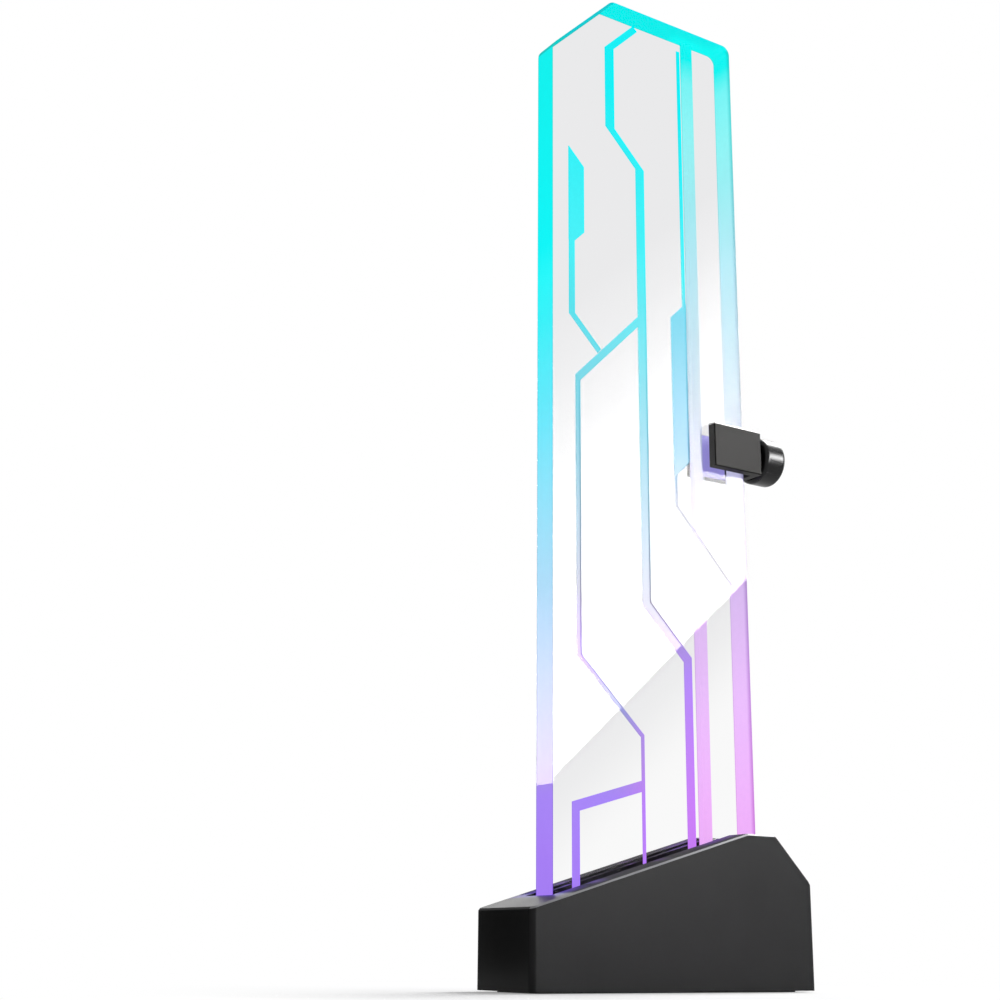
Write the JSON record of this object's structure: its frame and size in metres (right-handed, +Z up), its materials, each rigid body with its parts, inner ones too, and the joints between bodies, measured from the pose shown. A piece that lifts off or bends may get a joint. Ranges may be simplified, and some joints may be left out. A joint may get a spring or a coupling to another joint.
{
  "type": "graphics card support bracket",
  "caption": "Slim clear light panel with glowing edges and circuit-like traces in a black wedge base, with a sliding clip and thumb screw that hold up a card's corner.",
  "frame": {"origin": "middle of the foot pad's underside, on the surface that the bracket stands on", "axes": "+X along the base to the clip's side, +Y back, +Z up; the engraved face looks along -Y"},
  "size_m": [0.0761, 0.0198, 0.225],
  "materials": {
    "satin_black": "satin",
    "black_plastic": "matte",
    "black_rubber": "matte",
    "pale_silicone": "satin",
    "nickel": "gloss",
    "screw_steel": "satin",
    "board_white": "gloss",
    "chip_lens": "gloss",
    "header_nylon": "matte",
    "clear_acrylic": "gloss",
    "brass": "satin",
    "gloss_black": "gloss"
  },
  "bodies": {
    "stand": {"base_housing": "satin_black", "base_cover": "black_plastic", "grip_pad": "black_rubber", "magnet_left": "nickel", "magnet_centre": "nickel", "magnet_right": "nickel", "cover_screws": "screw_steel", "led_board": "board_white", "board_screws": "screw_steel", "led_chips": "chip_lens", "led_header": "header_nylon", "cable_grommet": "black_rubber", "clamp_bar": "header_nylon", "grub_screws": "screw_steel", "light_panel": "clear_acrylic"},
    "clip": {"clip_body": "satin_black", "front_liner": "pale_silicone", "rear_liner": "pale_silicone", "clip_insert": "brass"},
    "shoe": {"pressure_shoe": "brass"},
    "thumb_screw": {"screw_stud": "screw_steel", "screw_knob": "gloss_black", "knob_sleeve": "black_rubber"}
  },
  "joints": [
    {"name": "clip_slide", "type": "slide", "parent": "stand", "child": "clip", "axis": [0, 0, 1], "range_m": [-0.08, 0.095]},
    {"name": "shoe_advance", "type": "slide", "parent": "clip", "child": "shoe", "axis": [1, 0, 0], "range_m": [0, 0.0008]},
    {"name": "screw_turn", "type": "hinge", "parent": "shoe", "child": "thumb_screw", "pos_m": [0.0318, 0.0008, 0.119], "axis": [1, 0, 0], "range_deg": [0, 540]}
  ],
  "couplings": [
    {"joint": "shoe_advance", "follows": "screw_turn", "m_per_rad": 0.000079577}
  ]
}
